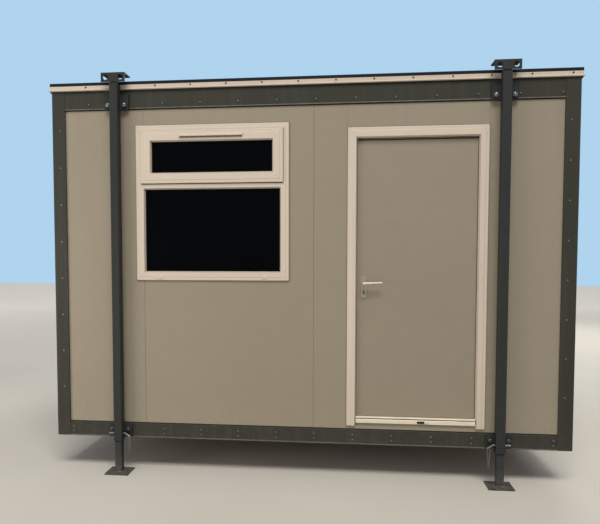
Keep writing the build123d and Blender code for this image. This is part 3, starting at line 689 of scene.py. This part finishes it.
# Door leaf: coated steel skins on a core, in the colour of the wall, with one smooth face.
# It is slightly glossier than the panels, and hands have left it duller near the handle.
skin = Finish("door_coat", Specular_IOR_Level=0.28)
handle_low, handle_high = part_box("handle_plates")
lever_z = 1.4
splash_low, splash_high = 0.42, 0.7
broad = skin.cloud(0.8, 2.0, 0.4)
fine = skin.cloud(0.10, 5.0, 0.65)
height = skin.along("Z")
handled = skin.fade(abs(skin.along("X") - handle_low.x), 0.05, 0.32, 0.5, 0.0)
handled = handled * skin.fade(abs(height - lever_z), 0.1, 0.4, 1.0, 0.0)
colour = skin.mix(broad, paint(137, 127, 109), paint(143, 133, 115))
colour = skin.mix(skin.fade(fine, 0.4, 0.75, 0.0, 0.14) + handled * 0.12, colour, paint(116, 106, 88))
splash = skin.fade(height, splash_low, splash_high, 0.35, 0.0)
splash = splash * skin.fade(skin.cloud(0.014, 5.0, 0.7), 0.45, 0.68)
skin.feed(Base_Color=skin.mix(splash, colour, paint(162, 148, 126)),
          Roughness=skin.fade(fine + handled, 0.3, 1.2, 0.36, 0.6))
skin.relief(skin.cloud(0.0022, 3.0, 0.6), 0.00008)
skin.dress("door_leaf")

# Threshold: anodised aluminium section, worn bright along its two ribs, with a drain slot in the lower one.
# The groove between the ribs and the drain slot are painted near black: painted shade in the recess. A small
# ribbed brown grille screens the slot, and a moulded clip beside it holds it.
sill_low, sill_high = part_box("door_threshold")
groove_front, groove_back = 0.003, 0.0125
rib_tall = 0.004
threshold = Finish("threshold_aluminium", Metallic=0.15)
drawn = threshold.cloud(0.004, 4.0, 0.6, threshold.moved(scale=(0.02, 1.0, 1.0)))
foot_marks = threshold.fade(threshold.cloud(0.06, 5.0, 0.7), 0.5, 0.75, 0.0, 0.4)
colour = threshold.mix(drawn, paint(214, 200, 176), paint(232, 219, 196))
colour = threshold.mix(foot_marks, colour, paint(160, 148, 126))
depth = threshold.along("Y") - sill_low.y
# Painted shade: every face in the recess of the groove and the slot is darkened nearly to black.
recess_shade = (depth > groove_front) * (depth < groove_back) * (threshold.along("Z") < sill_high.z - rib_tall)
threshold.feed(Base_Color=threshold.mix(recess_shade * 0.9, colour, paint(50, 41, 30)),
               Roughness=threshold.fade(drawn + foot_marks, 0.3, 1.0, 0.26, 0.5))
threshold.relief(drawn, 0.00015)
threshold.dress("door_threshold")
clip_low = sill_low + Vector((0.487, -0.003, 0.004))
clip_size = Vector((0.03, 0.004, 0.011))
clip_ease = 0.0014
clip = bmesh.new()
bar(clip, clip_low, clip_low + clip_size, clip_ease)
add_piece("drain_clip", clip, sash_plastic)
grille_low = sill_low + Vector((0.438, -0.0014, 0.003))
grille_high = Vector((sill_low.x + 0.4885, sill_low.y + 0.0006, sill_low.z + 0.0205))
rim = 0.0025
inner = 0.002
web_y = sill_low.y - 0.0003
rib_count, rib_pitch, rib_wide, rib_sunk = 9, 0.005, 0.0022, 0.0004
grille = bmesh.new()
ring(grille, grille_low, grille_high, rim, grille_low.y, grille_high.y)
low_z, high_z = grille_low.z + inner, grille_high.z - inner
bar(grille, (grille_low.x + inner, web_y, low_z), (grille_high.x - inner, grille_high.y, high_z))
for index in range(rib_count):
    x = grille_low.x + rim + inner + index * rib_pitch
    bar(grille, (x, grille_low.y + rib_sunk, low_z), (x + rib_wide, grille_high.y, high_z))
bmesh.ops.recalc_face_normals(grille, faces=grille.faces)
add_piece("drain_grille", grille, bronze)

# Door furniture: dull satin aluminium plates, a lever worn bright by hands, and a nickel plated lock cylinder.
# Each plate is held by a raised screw at its head and foot, and the plug of the cylinder has a key slot, drawn
# as a black
# bar: painted shade standing in for the dark slot.
satin = Finish("satin_aluminium", Metallic=0.5)
brushed = satin.cloud(0.002, 4.0, 0.6, satin.moved(scale=(1.0, 1.0, 0.08)))
rubbed = satin.cloud(0.03, 3.0)
satin.feed(Base_Color=satin.mix(rubbed, paint(150, 137, 115), paint(162, 149, 127)),
           Roughness=satin.fade(brushed, 0.3, 0.7, 0.34, 0.5))
satin.relief(brushed, 0.00006)
satin.dress("handle_plates")
polished = Finish("polished_aluminium", Metallic=0.35)
rubbed = polished.cloud(0.02, 3.0)
polished.feed(Base_Color=polished.mix(rubbed, paint(214, 204, 186), paint(232, 223, 205)),
              Roughness=polished.fade(rubbed, 0.3, 0.7, 0.22, 0.36))
polished.dress("lever_handle")
nickel = Finish("dull_nickel", Metallic=0.5, Specular_IOR_Level=0.2)
nickel_cloud = nickel.cloud(0.004, 3.0)
nickel.feed(Base_Color=nickel.mix(nickel_cloud, paint(30, 27, 21), paint(48, 43, 35)),
            Roughness=nickel.fade(nickel_cloud, 0.3, 0.7, 0.3, 0.5))
nickel.dress("lock_cylinder")
hinge_steel = Finish("hinge_steel", Metallic=0.85)
hinge_cloud = hinge_steel.cloud(0.008, 4.0)
hinge_steel.feed(Base_Color=hinge_steel.mix(hinge_cloud, paint(168, 168, 164), paint(196, 196, 192)),
                 Roughness=hinge_steel.fade(hinge_cloud, 0.3, 0.7, 0.25, 0.42))
hinge_steel.dress("hinge_frame_sides", "hinge_leaf_sides")
handle_x = (handle_low.x + handle_high.x) / 2
lock_low, lock_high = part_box("lock_cylinder")
plug_down = 0.0075
lock_z = lock_high.z - plug_down
plate_screw_in = 0.013
plate_screw_wide, plate_screw_top, plate_screw_tall = 0.0042, 0.0028, 0.0016
plug_wide, plug_top, plug_tall = 0.0046, 0.0043, 0.0012
slot_half_wide, slot_half_tall = 0.0007, 0.0035
slot_back, slot_front = 0.0001, 0.0014
plate_screws = bmesh.new()
keyway_shade = bmesh.new()
for y, out in ((handle_low.y, -1), (handle_high.y, 1)):
    for z in (handle_low.z + plate_screw_in, handle_high.z - plate_screw_in):
        seat = Vector((handle_x, y + out * plate_screw_tall / 2, z))
        bmesh.ops.create_cone(plate_screws, cap_ends=True, segments=16, radius1=plate_screw_wide,
                              radius2=plate_screw_top, depth=plate_screw_tall,
                              matrix=Matrix.Translation(seat) @ facing((0, out, 0)))
# Painted shade: each key slot is a black bar on the face of the plug.
for y, out in ((lock_low.y, -1), (lock_high.y, 1)):
    seat = Vector((handle_x, y + out * plug_tall / 2, lock_z))
    bmesh.ops.create_cone(plate_screws, cap_ends=True, segments=20, radius1=plug_wide, radius2=plug_top,
                          depth=plug_tall, matrix=Matrix.Translation(seat) @ facing((0, out, 0)))
    bar(keyway_shade, (handle_x - slot_half_wide, y + out * slot_back, lock_z - slot_half_tall),
        (handle_x + slot_half_wide, y + out * slot_front, lock_z + slot_half_tall))
bmesh.ops.recalc_face_normals(keyway_shade, faces=keyway_shade.faces)
add_piece("plate_screws", plate_screws, satin, "door")
add_piece("key_slot_shades", keyway_shade, rubber_and_shade, "door")

# Jack legs: square tubes in a bluish grey paint, chipped to rusty steel near the feet and at the pins.
# The inner tubes are a shade paler, with a black band just under the end of each outer tube: painted shade for
# the shadow that the end casts. Dust has dried on the foot plates.
outer_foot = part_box("leg_outer_tubes")[0].z
tube_end_shade_tall = 0.008
leg_paint = Finish("leg_paint", Specular_IOR_Level=0.12)
height = leg_paint.along("Z")
blotch = leg_paint.cloud(0.3, 5.0, 0.6)
chips = leg_paint.cloud(0.010, 5.0, 0.75)
worn = leg_paint.fade(height, 0.02, 0.35, 0.07, 0.0)
rust = leg_paint.fade(chips + worn, 0.70, 0.74)
colour = leg_paint.mix(blotch, paint(44, 45, 44), paint(52, 53, 51))
inner_tube = height < outer_foot
colour = leg_paint.mix(inner_tube * 0.8, colour, paint(55, 57, 57))
# Painted shade: the inner tube is darkened just under the end of the outer tube.
tube_end_shade = inner_tube * (height > outer_foot - tube_end_shade_tall)
colour = leg_paint.mix(tube_end_shade * 0.85, colour, paint(20, 20, 18))
rust_colour = leg_paint.mix(leg_paint.cloud(0.003), paint(84, 54, 36), paint(120, 82, 54))
colour = leg_paint.mix(rust * 0.8, colour, rust_colour)
dust = leg_paint.fade(height, 0.0, 0.14, 0.5, 0.0)
dust = dust * leg_paint.fade(leg_paint.cloud(0.03, 5.0, 0.7), 0.35, 0.65)
colour = leg_paint.mix(dust, colour, paint(128, 118, 102))
leg_paint.feed(Base_Color=colour, Roughness=leg_paint.fade(blotch + rust + dust, 0.3, 1.4, 0.36, 0.72))
leg_paint.relief(leg_paint.cloud(0.004, 3.0), 0.00015)
leg_paint.dress("leg_outer_tubes", "leg_inner_tubes", "leg_head_brackets", "leg_upper_plates",
                "leg_lower_plates")

# Fastenings of the legs: galvanised bolts on thick painted washers, and bent galvanised locking pins.
# Zinc spangle shows on them, gone dull in patches.
galvanised = Finish("galvanised_steel", Metallic=0.7)
spangle = galvanised.node("TexVoronoi", "Color", Vector=galvanised.place, Scale=160.0)
spangle = galvanised.node("SeparateXYZ", 0, Vector=spangle)
dull = galvanised.cloud(0.05, 4.0)
colour = galvanised.mix(spangle, paint(104, 104, 101), paint(140, 140, 136))
galvanised.feed(Base_Color=galvanised.mix(galvanised.fade(dull, 0.4, 0.8, 0.0, 0.6), colour, paint(92, 89, 82)),
                Roughness=galvanised.fade(spangle + dull, 0.4, 1.6, 0.28, 0.5))
galvanised.dress("leg_locking_pins", "leg_pin_chains")
bolt_zinc = Finish("bolt_zinc", Metallic=0.85)
bolt_cloud = bolt_zinc.cloud(0.012, 4.0, 0.6)
splashed = bolt_zinc.fade(bolt_zinc.along("Z"), 0.3, 1.2, 1.0, 0.0)
colour = bolt_zinc.mix(bolt_cloud, paint(104, 104, 100), paint(132, 132, 127))
bolt_zinc.feed(Base_Color=bolt_zinc.mix(splashed * 0.75, colour, paint(60, 59, 55)),
               Roughness=bolt_zinc.fade(bolt_cloud + splashed, 0.3, 1.6, 0.24, 0.5))
bolt_zinc.dress("leg_bolts")


def four_corners(mesh):
    """Repeats what is modelled at the front right leg at the other three legs."""
    first = list(mesh.verts) + list(mesh.edges) + list(mesh.faces)
    for along, across in ((-1, 1), (1, -1), (-1, -1)):
        copy = bmesh.ops.duplicate(mesh, geom=first)["geom"]
        verts = [item for item in copy if isinstance(item, bmesh.types.BMVert)]
        faces = [item for item in copy if isinstance(item, bmesh.types.BMFace)]
        bmesh.ops.scale(mesh, vec=(along, across, 1), verts=verts)
        if along * across < 0:
            bmesh.ops.reverse_faces(mesh, faces=faces)


fixing_low, fixing_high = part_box("leg_upper_plates")
lower_low, lower_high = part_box("leg_lower_plates")
plate_y = -fixing_high.y
upper_bolt_up, lower_bolt_up = 0.035, 0.058
bolt_out = 0.060
bolt_heights = (fixing_low.z + upper_bolt_up, lower_low.z + lower_bolt_up)
bolt_places = [(leg_x + side * bolt_out, z) for z in bolt_heights for side in (-1, 1)]
forward = Matrix.Rotation(math.radians(90), 4, "X")
washer_wide, washer_top, washer_tall = 0.0195, 0.0185, 0.003
washers = bmesh.new()
for x, z in bolt_places:
    seat = Matrix.Translation((x, plate_y - washer_tall / 2, z))
    bmesh.ops.create_cone(washers, cap_ends=True, segments=24, radius1=washer_wide, radius2=washer_top,
                          depth=washer_tall, matrix=seat @ forward)
four_corners(washers)
add_piece("bolt_washers", washers, leg_paint)

# Cap nuts: each bolt is closed by a domed cap, which sits on the hexagon and catches the light from above.
# The upper ones are still bright, and the lower ones are dulled by splashes.
cap_radius = 0.0125
cap_height = 0.006
arc_steps, round_steps = 6, 20
bolt_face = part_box("leg_bolts")[0].y
nut_caps = bmesh.new()
for x, z in bolt_places:
    arc = []
    for step in range(arc_steps + 1):
        lean = math.radians(90.0 * step / arc_steps)
        arc.append(nut_caps.verts.new((cap_radius * math.cos(lean), 0, cap_height * math.sin(lean))))
    edges = [nut_caps.edges.new(pair) for pair in zip(arc, arc[1:])]
    before = {vert for vert in nut_caps.verts if vert not in arc}
    bmesh.ops.spin(nut_caps, geom=arc + edges, cent=(0, 0, 0), axis=(0, 0, 1), angle=math.radians(360),
                   steps=round_steps, use_merge=True)
    made = [vert for vert in nut_caps.verts if vert not in before]
    bmesh.ops.transform(nut_caps, matrix=Matrix.Translation((x, bolt_face, z)) @ forward, verts=made)
bmesh.ops.remove_doubles(nut_caps, verts=nut_caps.verts, dist=0.00001)
bmesh.ops.recalc_face_normals(nut_caps, faces=nut_caps.faces)
four_corners(nut_caps)
add_piece("nut_caps", nut_caps, bolt_zinc)

# Welds of the legs: a rippled fillet joins each foot plate and each fixing plate to its tube.
# They were painted with the leg, so only their shape shows.
tube_half = 0.030
inner_half = 0.025
weld_size = 0.006
run_radius = weld_size * 0.8
leg_y = 1.265
foot_top = 0.008
ripple_deep = 0.0004
run_end = 0.004


def weld_skirt(mesh, x, y, z, half):
    """Fillet all round a square tube that stands on a plate."""
    place = Matrix.Translation((x, y, z + weld_size / 2)) @ Matrix.Rotation(math.radians(45), 4, "Z")
    made = bmesh.ops.create_cone(mesh, cap_ends=False, segments=4, radius1=(half + weld_size) * math.sqrt(2),
                                 radius2=half * math.sqrt(2), depth=weld_size, matrix=place)
    edges = list({edge for vert in made["verts"] for edge in vert.link_edges})
    bmesh.ops.subdivide_edges(mesh, edges=edges, cuts=11, use_grid_fill=True)


def weld_run(mesh, x, y, z0, z1):
    """Straight upright fillet beside a tube."""
    place = Matrix.Translation((x, y, (z0 + z1) / 2))
    made = bmesh.ops.create_cone(mesh, cap_ends=True, segments=8, radius1=run_radius, radius2=run_radius,
                                 depth=z1 - z0, matrix=place)
    edges = [edge for edge in {edge for vert in made["verts"] for edge in vert.link_edges}
             if abs(edge.verts[0].co.z - edge.verts[1].co.z) > 0.01]
    bmesh.ops.subdivide_edges(mesh, edges=edges, cuts=int((z1 - z0) / (weld_size / 2)))


welds = bmesh.new()
weld_skirt(welds, leg_x, -leg_y, foot_top, inner_half)
for low, high in ((fixing_low.z, fixing_high.z), (lower_low.z, lower_high.z)):
    for side in (-1, 1):
        weld_run(welds, leg_x + side * tube_half, plate_y, low + run_end, high - run_end)
for vert in welds.verts:
    ripple = ripple_deep * math.sin(1400 * vert.co.z + 900 * (vert.co.x + vert.co.y))
    away = Vector((vert.co.x - leg_x, vert.co.y + leg_y, 0)).normalized()
    vert.co += away * ripple
four_corners(welds)
bmesh.ops.recalc_face_normals(welds, faces=welds.faces)
add_piece("leg_welds", welds, leg_paint)

# Keeper chains: short-link zinc plated chain from the bent end of each pin to the foot of the plate.
# Each hangs in a narrow loop, and its links lie alternately flat and on edge.
wire = 0.0015
link_wide = 0.0075
link_straight = 0.0070
link_pitch = link_wide + link_straight - 1.2 * wire
pin_reach, pin_end_z = 0.082, 0.253
hook_in, hook_back, hook_down = 0.053, 0.0075, 0.002
loop_down = 0.148
pin_end = Vector((leg_x - pin_reach, -leg_y, pin_end_z))
chain_end = Vector((leg_x - hook_in, plate_y + hook_back, lower_low.z - hook_down))
chain_low_z = lower_low.z - loop_down


def chain_link(mesh, centre, direction, turn):
    """Oval link: a wire ring, drawn out along the way the chain runs."""
    start = Matrix.Rotation(math.radians(18), 4, "Y") @ Matrix.Translation((link_wide / 2, 0, 0))
    first = bmesh.ops.create_circle(mesh, segments=6, radius=wire, matrix=start)
    edges = list({edge for vert in first["verts"] for edge in vert.link_edges})
    before = set(mesh.verts) - set(first["verts"])
    bmesh.ops.spin(mesh, geom=first["verts"] + edges, cent=(0, 0, 0), axis=(0, 1, 0), angle=math.radians(360),
                   steps=10, use_merge=True)
    verts = [vert for vert in mesh.verts if vert not in before]
    for vert in verts:
        vert.co.z += math.copysign(link_straight / 2, vert.co.z)
    place = Matrix.Translation(centre) @ facing(direction) @ Matrix.Rotation(turn, 4, "Z")
    bmesh.ops.transform(mesh, matrix=place, verts=verts)


def hanging(share):
    """Point of the loop at a share of its way from the pin to the plate."""
    swing = abs(2 * share - 1) ** 1.08
    point = pin_end.lerp(chain_end, share)
    point.z = chain_low_z + (point.z - chain_low_z) * swing
    return point


chains = bmesh.new()
last = hanging(0.0)
trial_points = 2000
links = 0
for step in range(1, trial_points + 1):
    point = hanging(step / trial_points)
    if (point - last).length >= link_pitch:
        chain_link(chains, (point + last) / 2, (point - last).normalized(), math.radians(90) * (links % 2))
        last = point
        links += 1
four_corners(chains)
bmesh.ops.recalc_face_normals(chains, faces=chains.faces)
keeper = add_piece("keeper_chains", chains, zinc)
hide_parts("leg_pin_chains")

# Inside trims: white plastic angles close the corners of the room, and a skirting runs round the floor.
# They are glued on, and the skirting stops at the door.
inside_trim = Finish("inside_plastic", Roughness=0.4)
inside_cloud = inside_trim.cloud(0.3, 3.0)
inside_trim.feed(Base_Color=inside_trim.mix(inside_cloud, paint(214, 212, 206), paint(224, 222, 217)))
trim_leg = 0.025
trim_sheet = 0.0015
skirting_tall = 0.06
skirting_top = floor_top + skirting_tall
skirting_thick = 0.008
trims = bmesh.new()
for along in (-1, 1):
    x, y = along * room_x, along * room_y
    for across in (-1, 1):
        side = across * room_y
        bar(trims, (x, side, skirting_top), (x - along * trim_leg, side - across * trim_sheet, ceiling_z))
        bar(trims, (x, side, skirting_top), (x - along * trim_sheet, side - across * trim_leg, ceiling_z))
    bar(trims, (x, -room_y, ceiling_z), (x - along * trim_leg, room_y, ceiling_z - trim_sheet))
    bar(trims, (x, -room_y, floor_top), (x - along * skirting_thick, room_y, skirting_top))
    bar(trims, (-room_x, y, ceiling_z), (room_x, y - along * trim_leg, ceiling_z - trim_sheet))
bar(trims, (-room_x, room_y, floor_top), (room_x, room_y - skirting_thick, skirting_top))
bar(trims, (-room_x, -room_y, floor_top), (frame_low.x, -room_y + skirting_thick, skirting_top))
bar(trims, (frame_high.x, -room_y, floor_top), (room_x, -room_y + skirting_thick, skirting_top))
bmesh.ops.recalc_face_normals(trims, faces=trims.faces)
add_piece("inside_trims", trims, inside_trim)
